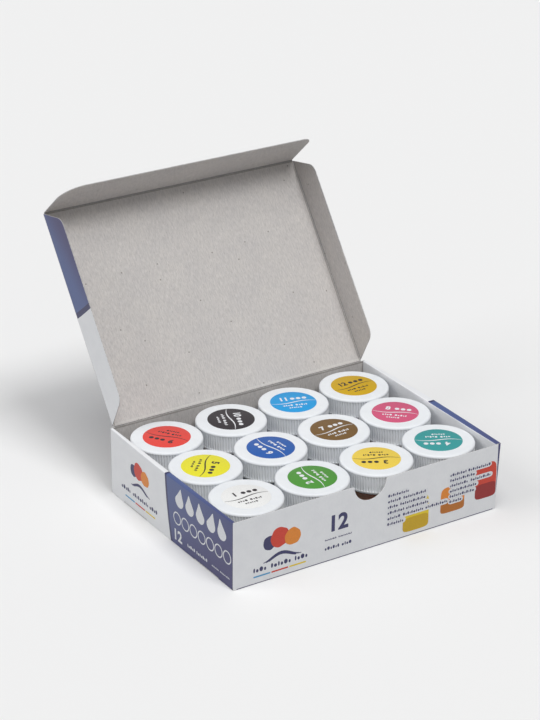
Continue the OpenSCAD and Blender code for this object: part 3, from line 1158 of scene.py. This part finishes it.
def cap_mesh():
    """Ribbed screw cap with its inside thread, on its own axis."""
    face, low, roof = cap_high.z - MARK_STEP, cap_low.z, cap_high.z - CAP_ROOF
    inside = CAP_R - CAP_WALL
    rib_top, rib_low = face - CAP_EDGE - 0.2, low + COLLAR
    profile = [(0, face), (MARK_R, face), (CAP_R - CAP_EDGE - 1, face)]
    profile += in_section(arc_points(CAP_R - CAP_EDGE, face - CAP_EDGE, CAP_EDGE, 90, 0, 7))
    rib_from = len(profile)
    profile += near(CAP_R, rib_top, (0, 0), (0, -0.35), (0, -0.6))
    profile += [(CAP_R, z) for z in span(rib_top - 3, rib_low + 3, 2)]
    profile += near(CAP_R, rib_low, (0, 0.3), (0, 0))
    rib_to = len(profile)
    profile += [(CAP_R, rib_low - 0.2)] + near(CAP_R, low, (0, 0.25), (-0.25, 0))
    profile += near(inside, low, (0.25, 0), (0, 0.25)) + near(inside, roof, (0, -0.4), (-0.4, 0)) + [(0, roof)]
    depths = {k: RIB_DEPTH for k in range(rib_from + 1, rib_to - 1)}
    depths[rib_from + 1] = RIB_DEPTH * 0.7

    def reach(k, angle):
        groove = 0.5 - 0.5 * cos(angle * RIBS)
        return depths.get(k, 0) * groove

    ridge_z = THREAD_LOW_Z - THREAD_PITCH / 4
    ridge = thread(inside + 0.1, inside - THREAD_DEPTH, ridge_z, -0.75, 1.25)
    return build_mesh("cap", *joined(turned(profile, RIBS * RIB_STEPS, reach), ridge), smooth=50)


def jar_mesh():
    """Jar with a screwed neck, on its own axis."""
    low, rim, floor = jar_low.z, jar_high.z, paint_low.z - 0.05
    mouth = NECK_R - JAR_WALL
    profile = near(0, low, (0, 0.5), (14.5, 0.5), (15, 0.1), (15.4, 0), (16.8, 0))
    profile += in_section(arc_points(JAR_R - 1.2, low + 1.2, 1.2, -80, 0, 5))
    profile += near(JAR_R, low, (0, 3), (-0.12, 3.4), (0, 3.8)) + [(JAR_R, SHOULDER_Z - 1.2)]
    profile += in_section(arc_points(JAR_R - 0.8, SHOULDER_Z - 0.8, 0.8, 20, 90, 4))
    profile += near(NECK_R, SHOULDER_Z, (0, 0.05), (0, 1.2), (0.45, 1.35), (0.45, 2), (0, 2.2))
    profile += near(NECK_R, rim, (0, -0.35), (-0.15, -0.08), (-0.4, 0))
    profile += near(mouth, rim, (0.3, 0), (0.06, -0.12), (0, -0.4)) + [(mouth, SHOULDER_Z)]
    profile += [(JAR_R - JAR_WALL, SHOULDER_Z - 1.6), (JAR_R - JAR_WALL, floor), (0, floor)]
    ridge = thread(NECK_R - 0.1, NECK_R + THREAD_DEPTH, THREAD_LOW_Z, 0, 1.4)
    return build_mesh("jar", *joined(turned(profile, 96), ridge), smooth=40)


def paint_mesh():
    """The paint: a slightly stirred surface that climbs at the wall."""
    top, low = paint_high.z, paint_low.z
    profile = [(0, top - 0.55)] + [(r, top - 0.5) for r in span(1.5, PAINT_R - 2.5, 9)]
    profile += near(PAINT_R, top, (-1.5, -0.45), (-0.7, -0.25), (0, 0)) + [(PAINT_R, low), (0, low)]
    verts, faces = turned(profile, 72)
    stirred = []
    for x, y, z in verts:
        r, a = hypot(x, y), atan2(y, x)
        calm = max(0.0, 1 - (r / (PAINT_R - 0.6)) ** 4) if z > top - 1 else 0
        stirred.append((x, y, z + 0.35 * calm * sin(0.55 * r - 2 * a) * cos(a - 0.7)))
    return build_mesh("paint", stirred, faces, smooth=60)


def seal_mesh():
    """Foam disc with the ring that the jar's rim presses into it."""
    top, low = seal_high.z, seal_low.z
    profile = near(0, low, (0, 0), (14.5, 0), (15.2, SEAL_PRESS), (17.3, SEAL_PRESS), (17.9, 0))
    profile += near(SEAL_R, low, (-0.2, 0), (0, 0.2)) + near(SEAL_R, top, (0, -0.2), (-0.2, 0)) + [(0, top)]
    return build_mesh("seal", *turned(profile, 72), smooth=40)


def mark_print(number, ink_name):
    """Cap mark: a thin swelling divider, the colour's number, a row of dots and some small marks."""
    shapes = Print()
    line = [(u, 1.1 * sin(pi * u / MARK_R) - 0.2) for u in span(-MARK_R + 0.4, MARK_R - 0.4, 24)]
    shapes.stroke(ink_name, line, 0.85, 0, 1, 0.75)
    shapes.number(ink_name, str(number), -4.8, 4.5, 4.4, 0.04)
    for k in range(3):
        shapes.dab(ink_name, 0.4 + 3.5 * k, 4.4, 1.35, k, 0.0)
    shapes.words(ink_name, -7.0, -3.9, (6.4, 6.8), 2.0, 0.9)
    shapes.words(ink_name, -4.2, -7.0, (7.6,), 1.7, 0.9)
    return shapes


def mark_mesh():
    """Thin disc of the colour mark, on the cap's axis."""
    low, top = cap_high.z - MARK_STEP, cap_high.z - INK_LIFT
    profile = [(0, top), (MARK_R - 0.12, top), (MARK_R, top - 0.04), (MARK_R, low - 0.05), (0, low - 0.05)]
    return build_mesh("mark", *turned(profile, 120), smooth=40)


def jars():
    """Twelve jars with their paint, seals, caps and cap marks."""
    cap, jar, paint, seal, mark = cap_mesh(), jar_mesh(), paint_mesh(), seal_mesh(), mark_mesh()
    top = cap_high.z - INK_LIFT
    for number, (colour, angle) in enumerate(MARK_ANGLES.items(), 1):
        low, high = node_box("jar_" + colour)
        at = (low + high) / 2
        place = moved(at.x, at.y, 0) @ turned_by(angle, "Z")
        gouache = DEEP_PAINTS.get(colour, PAINTS[colour])
        for part, mesh, look, body, slot, nodes in (
            ("jar", jar, jar_look(colour, gouache), "jar_", "jar_plastic", ["jar_" + colour]),
            ("paint", paint, paint_look(colour, gouache), "jar_", "paint_" + colour, ["paint_" + colour]),
            ("mark", mark, ink("mark_" + colour, PAINTS[colour]), "cap_", "cap_plastic", []),
        ):
            obj = put(f"{part}_of_{colour}", mesh, [look], body + colour, slot, nodes, place)
            obj.material_slots[0].link = "OBJECT"
            obj.material_slots[0].material = look
        put("screw_cap_" + colour, cap, [cap_plastic], "cap_" + colour, "cap_plastic", ["cap_" + colour], place)
        put("foam_seal_" + colour, seal, [seal_foam], "seal_" + colour, "seal_foam", ["seal_" + colour], place)
        line_ink = "black" if colour in DARK_LINES else "white"
        shapes = mark_print(number, line_ink)
        shapes.put("mark_print_" + colour, level_face(top), "cap_" + colour, "cap_plastic", place)


# ---- printed designs

# colour, then place right and up from the middle and radius, as shares of the size
BOUQUET_DABS = (("navy", -0.85, 0.15, 0.5), ("red", -0.1, 0.35, 0.7), ("orange", 0.85, 0.15, 0.6))


def bouquet(shapes, u, v, size):
    """Three overlapping dabs over a curved stroke: the box's plain emblem."""
    for layer, (name, du, dv, radius) in enumerate(BOUQUET_DABS):
        shapes.layer = layer
        shapes.dab(name, u + du * size, v + dv * size, radius * size, layer + 1, 0.03)
    shapes.layer = 3
    sweep = [(u + size * x, v - size * (1.0 - 0.22 * cos(2.2 * x))) for x in span(-1.5, 1.5, 16)]
    shapes.stroke("navy", sweep, 0.24 * size, 2, 5, 0.5)


def colour_rule(shapes, u, v, length):
    """A thin rule in three colours."""
    part = length / 3
    for k, name in enumerate(("blue", "red", "yellow")):
        shapes.bar(name, u + k * part, v, part - 0.6, 0.9)


# colour, darker colour, middle, lower edge, upper edge, width
FRONT_SWATCHES = (
    ("yellow", "amber", 31.2, 2.6, 23.4, 17.5),
    ("orange", "rust", 56.2, 6.9, 23.0, 16.5),
    ("red", "dark_red", 79.0, 9.0, 31.0, 14.6),
)


def text_lines(shapes, u, v, step, lines, height):
    """Lines of small marks on a white ground, as over a coloured print."""
    for k, lengths in enumerate(lines):
        shapes.layer = 2
        ground = sum(lengths) + 1.3 * len(lengths)
        shapes.bar("white", u - 0.8, v - step * k, ground + 0.3, step + 0.1)
        shapes.layer = 3
        shapes.words("navy", u, v - step * k, lengths, height, 1.3)


def front_print():
    shapes = Print()
    # A thin navy line along the foot of the wall: painted contact shade where the wall meets the floor.
    shapes.bar("navy", 2 - HALF_W, 0.3, 2 * HALF_W - 4, 0.4)
    bouquet(shapes, -57, 21, 8.5)
    shapes.words("navy", -74.5, 8.2, (9.5, 13.5, 8.0), 3.0, 1.6)
    colour_rule(shapes, -74.5, 4.2, 34)
    shapes.number("navy", "12", -19.5, 22.4, 10.0, 0.035)
    shapes.words("navy", -29, 13.2, (7.4, 8.6), 1.1, 1.4)
    shapes.words("navy", -29, 8.0, (9.6, 6.4), 2.2, 1.4)
    for name, shade, u, low, high, width in FRONT_SWATCHES:
        waist = low + 0.42 * (high - low)
        shapes.layer = 0
        shapes.block(name, u, (low + high) / 2, width, high - low)
        shapes.layer = 1
        shapes.block(shade, u, (low + waist) / 2, width, waist - low)
    left = ((14,), (9, 16), (7, 17.5), (11, 15), (9, 14, 15), (11.5,))
    right = ((11, 15.5), (17.5,), (13, 14.5), (19,), (17.5,), (8.5,))
    text_lines(shapes, 12, 28.6, 3.5, left, 1.9)
    text_lines(shapes, 54, 29.8, 3.3, right, 1.9)
    shapes.put("front_print", lambda u, v: ((u, -FRONT_Y + INK_LIFT, v), (0, -1, 0)), "tray", "white_board")


def side_print(label, side):
    """u runs from the back of the tray to its front on the left wall, and the other way on the right one."""
    shapes = Print()
    white_u, blue_u = (-32, 3) if side < 0 else (32, -61)
    bouquet(shapes, white_u, 24.5, 7.5)
    shapes.words("navy", white_u - 21, 10.4, (11, 17, 9.6), 2.8, 1.8)
    colour_rule(shapes, white_u - 17, 5.6, 34)
    for k in range(5):
        shapes.drop("white", blue_u + 9 + 10.6 * k, 29.4, 4.2, 0.5 * sin(2.4 * k + 1))
    for k in range(7):
        shapes.ring("white", blue_u + 6 + 8.4 * k, 17.4, 3.6, 0.75)
    shapes.number("white", "12", blue_u + 6.5, 6.6, 7.0, 0.03)
    shapes.words("white", blue_u + 16, 5.6, (8, 12), 2.2, 1.4)
    shapes.words("white", blue_u + 41, 5.4, (7, 10), 1.1, 1.4)

    def surface(u, v):
        y = side * u
        low, top = HALF_W - INK_LIFT, wall_top_x(side, y)
        return (side * (low + (top - low) * v / TRAY_H), y, v), (side, 0, 0)

    shapes.put(label + "_print", surface, "tray", "printed_board")


def lid_top_print():
    """u runs to the right with the lid closed and read from the front."""
    shapes = Print()
    bouquet(shapes, -44, -30, 16)
    for k, name in enumerate(("yellow", "orange", "red", "pink", "brown", "ochre",
                              "green", "teal", "blue", "navy", "black")):
        sweep = [(4 + 6.6 * k + 1.2 * sin(y / 9 + k), -14 - y) for y in span(0, 36, 14)]
        shapes.stroke(name, sweep, 4.6, k, 5, 0.1)
    sweep = [(-66 + x, -84 + 1.5 * sin(x / 12)) for x in span(0, 78, 26)]
    shapes.stroke("white", sweep, 11, 3, 11, 0.1)
    wave = [(-70 + x, -103 + 3.4 * sin(x / 6)) for x in span(0, 86, 80)]
    shapes.stroke("white", wave, 1.0, 0, 1, 0.3)
    shapes.number("white", "12", 52, -93, 24, 0.03)
    shapes.words("white", -70, -118, (16, 24, 12), 2.6, 2.4)
    shapes.put("lid_top_print", level_face(lid_high.z - INK_LIFT), "lid", "lid_board", LID)


def back_print():
    """u runs to the reader's right from behind the tray."""
    shapes = Print()
    bouquet(shapes, -62, 22, 7.5)
    for k, lengths in enumerate(((22, 14), (12, 26), (30,), (18, 16), (24, 8))):
        shapes.words("navy", -30, 32 - 4.6 * k, lengths, 1.4, 1.6)
    for k, name in enumerate(("yellow", "orange", "red", "pink", "green", "teal", "blue", "navy")):
        shapes.dab(name, 26 + 7.4 * k, 20 + 3 * sin(1.3 * k), 3.0, k, 0.05)
    colour_rule(shapes, 23, 10, 56)
    shapes.put("back_print", lambda u, v: ((-u, FRONT_Y - INK_LIFT, v), (0, 1, 0)), "tray", "white_board")


# ---- camera, light and floor

CAMERA_AZIMUTH = -33.01
CAMERA_ELEVATION = 24.814
CAMERA_ROLL = 0.603
CAMERA_DISTANCE = 1465.668
CAMERA_TARGET = (62.902, 132.049, 20.0)
PHOTO_FOCAL_PX = 2371.318
PHOTO_LONG_PX = 720
SENSOR = 36.0
CAMERA_CLIP = (0.05, 30)

BACKDROP = (0.863, 0.863, 0.863)
# where each lamp shines from, its strength and its spread in degrees
LIGHTS = {
    "key": ((-0.20, -0.24, 0.95), 0.67, 26),
    "fill": ((0.07, -0.50, 0.866), 1.42, 22),
    "side": ((-0.80, 0.25, 0.55), 0.90, 40),
}
GLOW = (0.97, 0.985, 1.0)
GLOW_STRENGTH = 0.27
FLOOR_SEEN = (0.862, 0.860, 0.857)
FLOOR_BOUNCE = (0.50, 0.50, 0.50)


def add_camera():
    """The camera that was fitted to the photo."""
    data = bpy.data.cameras.new("camera")
    data.sensor_width = SENSOR
    data.lens = PHOTO_FOCAL_PX / PHOTO_LONG_PX * SENSOR
    data.clip_start, data.clip_end = CAMERA_CLIP
    camera = added("camera", data)
    turn = turned_by(CAMERA_AZIMUTH, "Z") @ turned_by(90 - CAMERA_ELEVATION, "X") @ turned_by(CAMERA_ROLL, "Z")
    camera.matrix_world = moved(*CAMERA_TARGET) @ turn @ moved(0, 0, CAMERA_DISTANCE)
    bpy.context.scene.camera = camera


def add_lights():
    """Broad soft lights: one from above, weaker ones from the front and from the left."""
    for name, (come_from, power, spread) in LIGHTS.items():
        data = bpy.data.lights.new(name, "SUN")
        data.energy = power
        data.angle = radians(spread)
        light = added(name, data)
        light.rotation_euler = (-Vector(come_from)).to_track_quat("-Z", "Y").to_euler()


def add_world():
    """Even studio light, and a plain backdrop where the camera sees past the floor."""
    world = bpy.data.worlds.new("studio")
    bpy.context.scene.world = world
    world.use_nodes = True
    nodes, links = world.node_tree.nodes, world.node_tree.links
    switch = nodes.new("ShaderNodeMixShader")
    links.new(nodes.new("ShaderNodeLightPath").outputs["Is Camera Ray"], switch.inputs["Fac"])
    for slot, shade, colour, strength in ((1, nodes["Background"], GLOW, GLOW_STRENGTH),
                                          (2, nodes.new("ShaderNodeBackground"), BACKDROP, 1.0)):
        shade.inputs["Color"].default_value = (*colour, 1)
        shade.inputs["Strength"].default_value = strength
        links.new(shade.outputs[0], switch.inputs[slot])
    links.new(switch.outputs[0], nodes["World Output"].inputs["Surface"])


def add_floor():
    """Plain pale floor: the camera and reflections see it paler than it lights the box."""
    size, drop = 12, 0.0001
    verts = [(x * size / MM, y * size / MM, -drop / MM) for x, y in ((-1, -1), (1, -1), (1, 1), (-1, 1))]
    look = Look("studio_floor", "Object")
    path = look.add("ShaderNodeLightPath").outputs
    seen = look.math("MAXIMUM", path["Is Camera Ray"], path["Is Glossy Ray"])
    seen = look.math("MAXIMUM", seen, path["Is Transmission Ray"])
    look.done(look.mix(seen, FLOOR_BOUNCE, FLOOR_SEEN), 0.9, Specular_IOR_Level=0.0)
    floor = added("floor", build_mesh("floor", verts, [(0, 1, 2, 3)]))
    floor.data.materials.append(look.material)
    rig.stage(floor)


# ---- the scene

end_wall("front_board", -1, ["front_wall", "corner_flaps"])
end_wall("back_board", 1, ["back_wall", "corner_flaps"])
for wall_side, side_name in SIDES:
    side_wall(side_name, wall_side)
wall_end_fold("right_wall_fold")
for wall_side, side_name in SIDES:
    for tab_end, end_name in ((-1, "front"), (1, "back")):
        lock_tab(f"lock_tab_{side_name}_{end_name}", wall_side, tab_end * TAB_Y)
base("base_board")
lid_panel("lid_board")
for wall_side, side_name in SIDES:
    side_flap(side_name, wall_side)
tuck_flap("tuck_board")
lid_creases()
jars()
front_print()
for wall_side, side_name in SIDES:
    side_print(side_name, wall_side)
lid_top_print()
back_print()
add_world()
add_lights()
add_floor()
add_camera()
bpy.context.scene.view_settings.view_transform = "Standard"

bpy.context.view_layer.update()
with open(SIZE_FILE, "w") as size_file:
    json.dump([[list(corner) for corner in pair] for pair in (frame_bounds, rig.bounds())], size_file)
